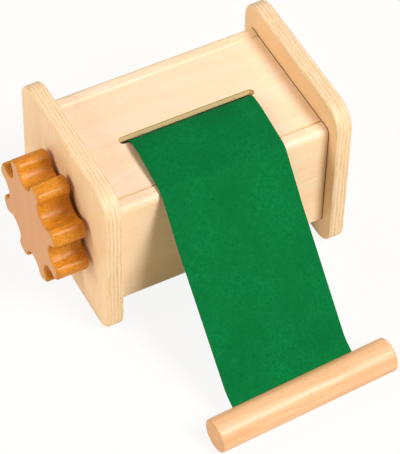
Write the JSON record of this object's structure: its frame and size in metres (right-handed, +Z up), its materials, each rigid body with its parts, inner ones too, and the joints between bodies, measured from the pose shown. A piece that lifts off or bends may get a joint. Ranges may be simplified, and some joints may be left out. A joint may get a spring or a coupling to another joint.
{
  "type": "ribbon winder",
  "caption": "Wooden box on two end panels with a scalloped side knob that winds a broad green cloth ribbon, ending in a dowel handle, in through a slot in its top.",
  "frame": {"origin": "on the table, under the middle of the box between the end panels", "axes": "+X along the roller away from the knob, +Y to the back, +Z up"},
  "size_m": [0.2088, 0.254, 0.1334],
  "materials": {
    "birch_plywood": "clear satin lacquer",
    "birch_veneer_board": "clear satin lacquer",
    "birch_strip": "clear satin lacquer",
    "beech_peg": "sanded",
    "stained_beech": "honey stain under satin lacquer",
    "beech_handle": "clear satin lacquer",
    "nylon": "natural, as turned",
    "green_ribbon": "plain woven cotton, matt"
  },
  "bodies": {
    "case": {"left_end_panel": "birch_plywood", "right_end_panel": "birch_plywood", "front_board": "birch_veneer_board", "back_board": "birch_veneer_board", "front_edge_strip": "birch_strip", "back_edge_strip": "birch_strip", "top_panel": "birch_veneer_board", "bottom_panel": "birch_veneer_board", "left_pegs": "beech_peg", "right_pegs": "beech_peg", "left_bush": "nylon", "right_bush": "nylon", "thrust_washer": "nylon", "ribbon_on_box": "green_ribbon"},
    "winder": {"roller": "beech_peg", "knob": "stained_beech", "wound_ribbon": "green_ribbon"},
    "pull": {"handle": "beech_handle", "ribbon_hanging": "green_ribbon"}
  },
  "joints": [
    {"name": "winder_turn", "type": "hinge", "parent": "case", "child": "winder", "pos_m": [0, 0, 0.0664], "axis": [1, 0, 0], "range_deg": [0, 530]},
    {"name": "handle_pull", "type": "slide", "parent": "case", "child": "pull", "axis": [0.0288, 0.7562, 0.6537], "range_m": [0, 0.1274], "deforming": ["ribbon_hanging"]}
  ],
  "couplings": [
    {"joint": "handle_pull", "follows": "winder_turn", "m_per_rad": 0.01375}
  ]
}
